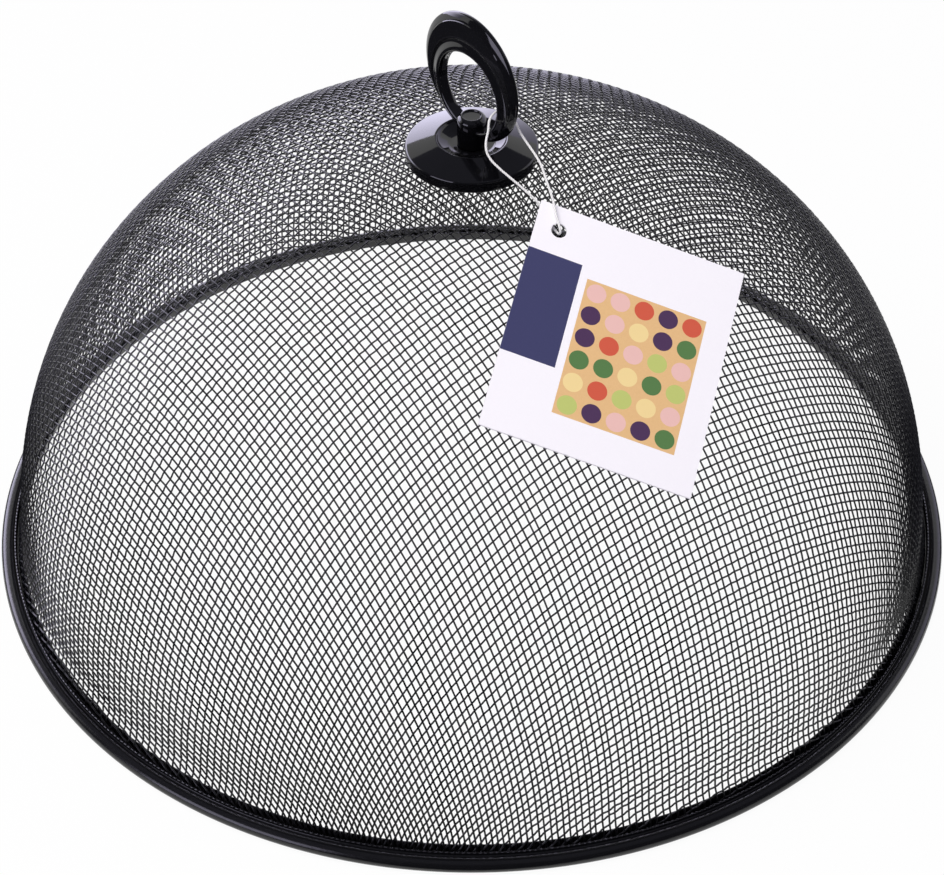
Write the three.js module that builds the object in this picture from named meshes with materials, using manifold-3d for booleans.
// A food cover: a dome of woven wire in a rolled steel rim, with a ring to lift it by.
// Millimetres, +Z up. The origin is on the axis, in the plane that the rim stands on.

import * as THREE from 'three';
import { mergeVertices } from 'three/addons/utils/BufferGeometryUtils.js';
import Module from 'manifold-3d';

// What pieces that touch on the real cover keep between them
const seatGap = 0.3;

// Rim: a strip of sheet rolled to a round bead, with its inner side folded up around the cloth's edge
const rimOuterRadius = 150;
const rimBeadDiameter = 4.4;
const rimSheet = 0.6;
const rimLeafSink = 0.2;
const rimLeafHeight = 4.1;
const rimLipHeight = 5;
const rimLipLean = 0.5;
const rimUndersideHeight = 1.6;

// Dome: cloth of crossed wires, pressed to a shape a little fuller than a half sphere
const clothThickness = 0.9;
const domeFootHeight = 3;
const domeRise = 138;
const domeRadiusPower = 1.92;
const domeHeightPower = 2.2;
const footFlare = 2;
const footStraightHeight = 4;
const footFlareHeight = 12;

// The cloth's open mesh: ribs and hoops between its openings, in two layers that sink into each other
const gridBarWidth = 5;
const gridCrownSpread = 2;
const gridRibs = 20;
const gridHoops = 4;
const ribDepthShares = [0.05, 0.65];
const hoopDepthShares = [0.35, 0.95];
const wholeDepthShares = [0, 1];

// Screw that holds the knob, and the washer under the cloth
const screwRadius = 1.5;
const screwHeadRadius = 3.6;
const screwHeadHeight = 2.2;
const screwGripLength = 6.4;
const screwPointLength = 1.2;
const screwSlotWidth = 0.9;
const screwSlotDepth = 1.1;
const screwSlotLength = 4.4;
const washerRadius = 9;
const washerThickness = 1;

// Rosette: the moulded dish that the ring stands in
const rosetteRadius = 19.2;
const rosetteLipHeight = 3.4;
const rosetteLipWidth = 1.5;
const rosetteConeRise = 2.7;
const rosetteWall = 1.6;
const rosetteBossRadius = 6;
const crestRadius = 10.3;
const bowlRadius = 6.2;
const bowlFloorThickness = 2.2;

// Ring handle: a flat ring with an off-centre hole and a collar round it, on a round post
const ringRadius = 19.5;
const ringThickness = 3.2;
const ringEdgeWidth = 2.3;
const ringEdgeStep = 1.1;
const ringHoleWidth = 24.6;
const ringHoleHeight = 23.9;
const ringSpan = 3;
const ringFootRise = 3;
const ringAzimuth = THREE.MathUtils.degToRad(-49.6);
const collarWidth = 3.6;
const collarInset = 1;
const collarThickness = 3.8;
const collarEdge = 0.9;
const postRadius = 4.2;
const postRise = 3.6;
const buttonChamfer = 1;
const buttonRecessRadius = 2.7;
const buttonRecessDepth = 0.5;

// Tag: a card that hangs from the ring on a loop of string and lies on the dome
const cardWidth = 61;
const cardHeight = 72;
const cardThickness = 0.5;
const cardLift = 0.75;
const cardRadius = 75.6;
const cardAzimuth = THREE.MathUtils.degToRad(-59.1);
const cardTurn = THREE.MathUtils.degToRad(42.2);
const cardHoleRadius = 2.25;
const cardHoleSide = 7;
const cardHoleTop = 7.4;
const stringDiameter = 0.8;
const knotRadius = 1;
const knotStringDiameter = 0.72;
const knotSide = 3.4;
const knotTop = 3.6;
const knotDrop = 2.4;

// How finely round pieces are cut
const domeSides = 72;
const domeRings = 9;
const flareRings = 3;
const footBandRings = 2;
const crownRings = 3;
const gridSides = 40;
const beadSides = 16;
const beadOpenSides = 3;
const knobSides = 40;
const smallSides = 24;
const holeSides = 12;
const stringSides = 8;
const stringStepShare = 2.5;
const knotSteps = 36;
const knotSides = 6;
const quarterTurn = Math.PI / 2;

// How far a cutter runs past the face that it opens
const cutOverrun = 1;

const wasm = await Module();
wasm.setup();

function solidOf(geometry) {
  const plain = geometry.clone();
  plain.deleteAttribute('normal');
  plain.deleteAttribute('uv');
  const merged = mergeVertices(plain);
  return new wasm.Manifold(new wasm.Mesh({
    numProp: 3,
    vertProperties: new Float32Array(merged.attributes.position.array),
    triVerts: new Uint32Array(merged.index.array),
  }));
}

function geometryOf(solid) {
  const mesh = solid.getMesh();
  const geometry = new THREE.BufferGeometry();
  geometry.setAttribute('position', new THREE.BufferAttribute(mesh.vertProperties, mesh.numProp));
  geometry.setIndex(new THREE.BufferAttribute(mesh.triVerts, 1));
  geometry.computeVertexNormals();
  return geometry;
}

// Turns an outline of [radius, height] points round the vertical axis
function turned(outline, sides) {
  const points = outline.map(([radius, height]) => new THREE.Vector2(radius, height));
  return new THREE.LatheGeometry(points, sides).rotateX(quarterTurn);
}

// A flat outline, extruded evenly to both sides of the plane through the axis
function upright(shape, thickness, edgeWidth, edgeStep) {
  return new THREE.ExtrudeGeometry(shape, {
    depth: thickness - 2 * edgeStep,
    bevelSize: edgeWidth,
    bevelOffset: -edgeWidth,
    bevelThickness: edgeStep,
    bevelSegments: 1,
    bevelEnabled: edgeWidth > 0,
    curveSegments: smallSides,
  }).translate(0, 0, edgeStep - thickness / 2).rotateX(quarterTurn);
}

function finish(colour, roughness, metalness) {
  return new THREE.MeshStandardMaterial({ color: colour, roughness, metalness });
}

function piece(name, geometry, material) {
  const mesh = new THREE.Mesh(geometry, material);
  mesh.name = name;
  return mesh;
}

// The rim's radii, from its bead in to its lip
const beadRadius = rimBeadDiameter / 2;
const beadCentreRadius = rimOuterRadius - beadRadius;
const leafOuterRadius = rimOuterRadius - rimBeadDiameter + rimLeafSink;
const slotOuterRadius = leafOuterRadius - rimSheet;
const footOuterRadius = slotOuterRadius - seatGap;
const footInnerRadius = footOuterRadius - clothThickness;
const slotInnerRadius = footInnerRadius - seatGap;
const lipInnerRadius = slotInnerRadius - rimSheet;
const slotFloorHeight = rimUndersideHeight + rimSheet;

function rimHoop() {
  // A flat of the bead lies on the table, so the corners stand half a side to either hand of it
  const sideAngle = (2 * Math.PI) / beadSides;
  const cornerRadius = beadRadius / Math.cos(sideAngle / 2);
  const bead = [];
  for (let corner = beadOpenSides / 2; corner <= beadSides - beadOpenSides / 2; corner += 1) {
    const angle = -Math.PI + corner * sideAngle;
    bead.push([
      beadCentreRadius + cornerRadius * Math.cos(angle),
      beadRadius + cornerRadius * Math.sin(angle),
    ]);
  }
  const outline = [
    [lipInnerRadius, rimUndersideHeight],
    ...bead,
    [leafOuterRadius, bead[bead.length - 1][1]],
    [leafOuterRadius, rimLeafHeight],
    [slotOuterRadius, rimLeafHeight],
    [slotOuterRadius, slotFloorHeight],
    [slotInnerRadius, slotFloorHeight],
    [slotInnerRadius - rimLipLean, rimLipHeight],
    [lipInnerRadius - rimLipLean, rimLipHeight],
    [lipInnerRadius, rimUndersideHeight],
  ];
  return turned(outline, domeSides);
}

// The dome's outside is a curve of powers: its radius and height at a share of the quarter turn
const domeRadius = footOuterRadius - footFlare;
const screwHoleRadius = screwRadius + seatGap;

function domePoint(angle) {
  return [
    domeRadius * Math.cos(angle) ** (2 / domeRadiusPower),
    domeFootHeight + domeRise * Math.sin(angle) ** (2 / domeHeightPower),
  ];
}

function domeAngleAtRadius(radius) {
  return Math.acos((radius / domeRadius) ** (domeRadiusPower / 2));
}

function domeAngleAtHeight(height) {
  return Math.asin(((height - domeFootHeight) / domeRise) ** (domeHeightPower / 2));
}

function domeHeightAt(radius) {
  return domePoint(domeAngleAtRadius(radius))[1];
}

// How far the dome's outside leans from upright at a radius
function domeLeanAt(radius) {
  const height = domeHeightAt(radius) - domeFootHeight;
  const outward = (domeRadiusPower / domeRadius) * (radius / domeRadius) ** (domeRadiusPower - 1);
  const upward = (domeHeightPower / domeRise) * (height / domeRise) ** (domeHeightPower - 1);
  return Math.atan2(outward, upward);
}

// Moves each point of an open outline to its left by the same distance
function offset(outline, distance) {
  return outline.map(([radius, height], index) => {
    const before = outline[Math.max(index - 1, 0)];
    const after = outline[Math.min(index + 1, outline.length - 1)];
    const along = new THREE.Vector2(after[0] - before[0], after[1] - before[1]).normalize();
    return [radius - along.y * distance, height + along.x * distance];
  });
}

// The cloth's edge, from its foot in the rim's slot up along its flare
function footCurve() {
  const curve = [[footOuterRadius, slotFloorHeight + seatGap]];
  for (let ring = 0; ring < flareRings; ring += 1) {
    const leftShare = 1 - ring / flareRings;
    const height = footFlareHeight - (footFlareHeight - footStraightHeight) * leftShare;
    const flare = footFlare * leftShare ** 2;
    curve.push([domePoint(domeAngleAtHeight(height))[0] + flare, height]);
  }
  return curve;
}

// The dome's outside from one angle up to another, in even steps
function domeCurve(from, to, steps) {
  return Array.from({ length: steps + 1 }, (_, step) => domePoint(from + (to - from) * (step / steps)));
}

// A short straight piece of the dome's outside, as long as a bar is wide
function hoopCurve(angle) {
  const [radius, height] = domePoint(angle);
  const lean = domeLeanAt(radius);
  const across = (Math.cos(lean) * gridBarWidth) / 2;
  const up = (Math.sin(lean) * gridBarWidth) / 2;
  return [[radius + across, height - up], [radius - across, height + up]];
}

// A closed outline under an open one, between two depths into the cloth
function layerUnder(curve, [nearShare, farShare]) {
  const outside = offset(curve, clothThickness * nearShare);
  const inside = offset(curve, clothThickness * farShare).reverse();
  return [...outside, ...inside, outside[0]];
}

function meshDome() {
  const foot = footCurve();
  const lowAngle = domeAngleAtHeight(footFlareHeight);
  const crownAngle = domeAngleAtRadius(rosetteRadius + gridCrownSpread);
  const side = domeCurve(lowAngle, crownAngle, domeRings);
  const crown = domeCurve(crownAngle, domeAngleAtRadius(screwHoleRadius), crownRings);
  const parts = [
    turned(layerUnder(foot.slice(0, footBandRings + 1), wholeDepthShares), domeSides),
    turned(layerUnder(crown, wholeDepthShares), gridSides),
  ];
  const ribOutline = layerUnder([...foot.slice(1), ...side, crown[1]], ribDepthShares);
  const ribShape = new THREE.Shape(ribOutline.map((point) => new THREE.Vector2(...point)));
  for (let rib = 0; rib < gridRibs; rib += 1) {
    parts.push(upright(ribShape, gridBarWidth, 0, 0).rotateZ((2 * Math.PI * rib) / gridRibs));
  }
  for (let hoop = 1; hoop <= gridHoops; hoop += 1) {
    const angle = lowAngle + (crownAngle - lowAngle) * (hoop / (gridHoops + 1));
    parts.push(turned(layerUnder(hoopCurve(angle), hoopDepthShares), gridSides));
  }
  return geometryOf(wasm.Manifold.union(parts.map(solidOf)));
}

// Heights up the knob, each from the one that it stands on
const apexHeight = domeFootHeight + domeRise;
const bossHeight = apexHeight + seatGap;
const bowlFloorHeight = bossHeight + bowlFloorThickness;
const lipBottomHeight = domeHeightAt(rosetteRadius) + seatGap;
const lipTopHeight = lipBottomHeight + rosetteLipHeight;
const crestHeight = lipTopHeight + rosetteConeRise;
const postFootHeight = bowlFloorHeight + seatGap;
const ringBottomHeight = postFootHeight + ringFootRise;
const collarBottomHeight = ringBottomHeight + collarInset;
const holeBottomHeight = ringBottomHeight + ringSpan;
const holeTopHeight = holeBottomHeight + ringHoleHeight;
const buttonHeight = holeBottomHeight + postRise;
const boreHeight = postFootHeight + screwGripLength + seatGap;

function knobRosette() {
  const bowlSideShares = [[0.5, 0.3], [0.82, 0.72]];
  const bowlSide = bowlSideShares.map(([across, up]) => [
    bowlRadius + (crestRadius - bowlRadius) * across,
    bowlFloorHeight + (crestHeight - bowlFloorHeight) * up,
  ]);
  const outline = [
    [screwHoleRadius, bowlFloorHeight],
    [screwHoleRadius, bossHeight],
    [rosetteBossRadius, bossHeight],
    [rosetteBossRadius, bowlFloorHeight - rosetteWall],
    [crestRadius, crestHeight - 2 * rosetteWall],
    [rosetteRadius - rosetteLipWidth, lipTopHeight - rosetteWall],
    [rosetteRadius - rosetteLipWidth, lipBottomHeight],
    [rosetteRadius, lipBottomHeight],
    [rosetteRadius, lipTopHeight],
    [crestRadius, crestHeight],
    ...bowlSide.reverse(),
    [bowlRadius, bowlFloorHeight],
    [screwHoleRadius, bowlFloorHeight],
  ];
  return turned(outline, knobSides);
}

function oval(width, bottom, top) {
  const shape = new THREE.Shape();
  return shape.absellipse(0, (bottom + top) / 2, width / 2, (top - bottom) / 2, 0, 2 * Math.PI);
}

function ringHandle() {
  const diskShape = oval(2 * ringRadius, ringBottomHeight, ringBottomHeight + 2 * ringRadius);
  const disk = upright(diskShape, ringThickness, ringEdgeWidth, ringEdgeStep);
  const collarShape = oval(ringHoleWidth + 2 * collarWidth, collarBottomHeight, holeTopHeight + collarWidth);
  collarShape.holes.push(oval(ringHoleWidth, holeBottomHeight, holeTopHeight));
  const collar = upright(collarShape, collarThickness, collarEdge, collarEdge);
  // The disk is opened to the middle of the collar's width, all the way round
  const openingShape = oval(
    ringHoleWidth + collarWidth,
    (collarBottomHeight + holeBottomHeight) / 2,
    holeTopHeight + collarWidth / 2,
  );
  const opening = upright(openingShape, collarThickness + cutOverrun, 0, 0);
  const buttonRadius = postRadius - buttonChamfer;
  const post = turned([
    [0, postFootHeight],
    [postRadius, postFootHeight],
    [postRadius, buttonHeight - buttonChamfer],
    [buttonRadius, buttonHeight],
    [buttonRecessRadius, buttonHeight],
    [buttonRecessRadius, buttonHeight - buttonRecessDepth],
    [0, buttonHeight - buttonRecessDepth],
  ], smallSides);
  const bore = turned([
    [0, postFootHeight - cutOverrun],
    [screwHoleRadius, postFootHeight - cutOverrun],
    [screwHoleRadius, boreHeight],
    [0, boreHeight],
  ], holeSides);
  const ring = solidOf(disk).subtract(solidOf(opening)).add(solidOf(collar));
  return geometryOf(ring.add(solidOf(post)).subtract(solidOf(bore)));
}

// The washer lies under the cloth and is as low as the cloth at its edge asks
const washerTopHeight = domeHeightAt(washerRadius) - clothThickness - seatGap;
const screwHeadTopHeight = washerTopHeight - washerThickness - seatGap;
const screwHeadBottomHeight = screwHeadTopHeight - screwHeadHeight;

function clampWasher() {
  const bottom = washerTopHeight - washerThickness;
  return turned([
    [screwHoleRadius, bottom],
    [washerRadius, bottom],
    [washerRadius, washerTopHeight],
    [screwHoleRadius, washerTopHeight],
    [screwHoleRadius, bottom],
  ], knobSides);
}

function knobScrew() {
  const tipHeight = boreHeight - seatGap;
  const headRoundShares = [[0.62, 0], [0.9, 0.3], [1, 0.65]];
  const head = headRoundShares.map(([across, up]) => [
    screwHeadRadius * across,
    screwHeadBottomHeight + screwHeadHeight * up,
  ]);
  const body = turned([
    [0, screwHeadBottomHeight],
    ...head,
    [screwHeadRadius, screwHeadTopHeight],
    [screwRadius, screwHeadTopHeight],
    [screwRadius, tipHeight - screwPointLength],
    [screwRadius / 2, tipHeight],
    [0, tipHeight],
  ], smallSides);
  let solid = solidOf(body);
  for (const turn of [0, quarterTurn]) {
    const slot = new THREE.BoxGeometry(screwSlotLength, screwSlotWidth, 2 * screwSlotDepth)
      .rotateZ(turn)
      .translate(0, 0, screwHeadBottomHeight);
    solid = solid.subtract(solidOf(slot));
  }
  return geometryOf(solid);
}

function tagCard() {
  const shape = new THREE.Shape();
  shape.moveTo(-cardWidth / 2, -cardHeight / 2);
  shape.lineTo(cardWidth / 2, -cardHeight / 2);
  shape.lineTo(cardWidth / 2, cardHeight / 2);
  shape.lineTo(-cardWidth / 2, cardHeight / 2);
  const hole = new THREE.Path().absarc(
    cardHoleSide - cardWidth / 2,
    cardHeight / 2 - cardHoleTop,
    cardHoleRadius,
    0,
    2 * Math.PI,
  );
  shape.holes.push(hole);
  return new THREE.ExtrudeGeometry(shape, {
    depth: cardThickness,
    bevelEnabled: false,
    curveSegments: holeSides,
  }).translate(0, 0, -cardThickness / 2);
}

// The string's way: up through the card's hole, round the ring's arm, down and under the card
const stringPoints = [
  [22.1, -33.4, 139.5],
  [23.1, -34.7, 138.7],
  [24.1, -36.5, 138.7],
  [24.5, -37.5, 139.9],
  [24.3, -36.6, 141.2],
  [23.5, -34.2, 142.7],
  [22.5, -29.6, 145.4],
  [20.9, -25, 148.1],
  [19.3, -20.7, 150.8],
  [17.6, -17.8, 152.4],
  [15.4, -14.5, 154],
  [13.7, -11.3, 155],
  [13, -9.2, 155.3],
  [12.2, -7.5, 156.3],
  [10.5, -6.7, 157.6],
  [8.4, -6.2, 159.2],
  [6.5, -7.5, 159.3],
  [5, -9.8, 158.4],
  [4.6, -12.5, 156.5],
  [4, -15.1, 154.6],
  [4.2, -17.3, 152.8],
  [5.4, -18.9, 151.2],
  [7.3, -20.5, 149.9],
  [9.8, -22.3, 148.5],
  [12.5, -24.2, 147.1],
  [15.6, -26.6, 145.5],
  [18.4, -28.7, 143.7],
  [19.3, -29.7, 142.4],
  [20, -30.5, 141.5],
];

function tagString() {
  const route = new THREE.CatmullRomCurve3(
    stringPoints.map((point) => new THREE.Vector3(...point)),
    false,
    'centripetal',
  );
  const section = new THREE.Shape();
  for (let side = 0; side < stringSides; side += 1) {
    const angle = (side / stringSides) * 2 * Math.PI;
    const across = (stringDiameter / 2) * Math.cos(angle);
    const up = (stringDiameter / 2) * Math.sin(angle);
    if (side === 0) section.moveTo(across, up);
    else section.lineTo(across, up);
  }
  const steps = Math.round(route.getLength() / (stringStepShare * stringDiameter));
  return new THREE.ExtrudeGeometry(section, { steps, extrudePath: route, bevelEnabled: false });
}

function stringKnot() {
  return new THREE.TorusKnotGeometry(knotRadius, knotStringDiameter / 2, knotSteps, knotSides);
}

// A place on the card, from its upper left corner, as the card lies on the dome
function onCard(object, side, top, lift) {
  const lie = new THREE.Group();
  const tangentHeight = domeHeightAt(cardRadius);
  const lean = domeLeanAt(cardRadius);
  const clear = cardLift + cardThickness / 2;
  const reach = new THREE.Vector2(Math.sin(lean), Math.cos(lean)).multiplyScalar(clear);
  const swing = new THREE.Group();
  const turn = new THREE.Group();
  lie.rotation.z = cardAzimuth;
  swing.position.set(cardRadius + reach.x, 0, tangentHeight + reach.y);
  swing.rotation.y = lean;
  turn.rotation.z = quarterTurn - cardTurn;
  object.position.set(side, top, lift);
  turn.add(object);
  swing.add(turn);
  lie.add(swing);
  return lie;
}

const blackPaint = finish(0x0c0c0f, 0.28, 0.2);
const blackWire = finish(0x131316, 0.45, 0.3);
const blackPlastic = finish(0x0b0b0e, 0.16, 0);
const zincSteel = finish(0xb9bcc0, 0.34, 1);
const whiteCard = finish(0xf4f3f6, 0.55, 0);
const whiteString = finish(0xf1f0ee, 0.8, 0);

const cover = new THREE.Group();
cover.add(piece('mesh_dome', meshDome(), blackWire));
cover.add(piece('rim_hoop', rimHoop(), blackPaint));
cover.add(piece('knob_rosette', knobRosette(), blackPlastic));
cover.add(piece('clamp_washer', clampWasher(), zincSteel));
cover.add(piece('knob_screw', knobScrew(), zincSteel));

const ring = piece('ring_handle', ringHandle(), blackPlastic);
ring.rotation.z = ringAzimuth;
cover.add(ring);

const knotPlace = [knotSide - cardWidth / 2, cardHeight / 2 - knotTop, -knotDrop];
cover.add(onCard(piece('tag_card', tagCard(), whiteCard), 0, 0, 0));
cover.add(onCard(piece('string_knot', stringKnot(), whiteString), ...knotPlace));
cover.add(piece('tag_string', tagString(), whiteString));

export default cover;
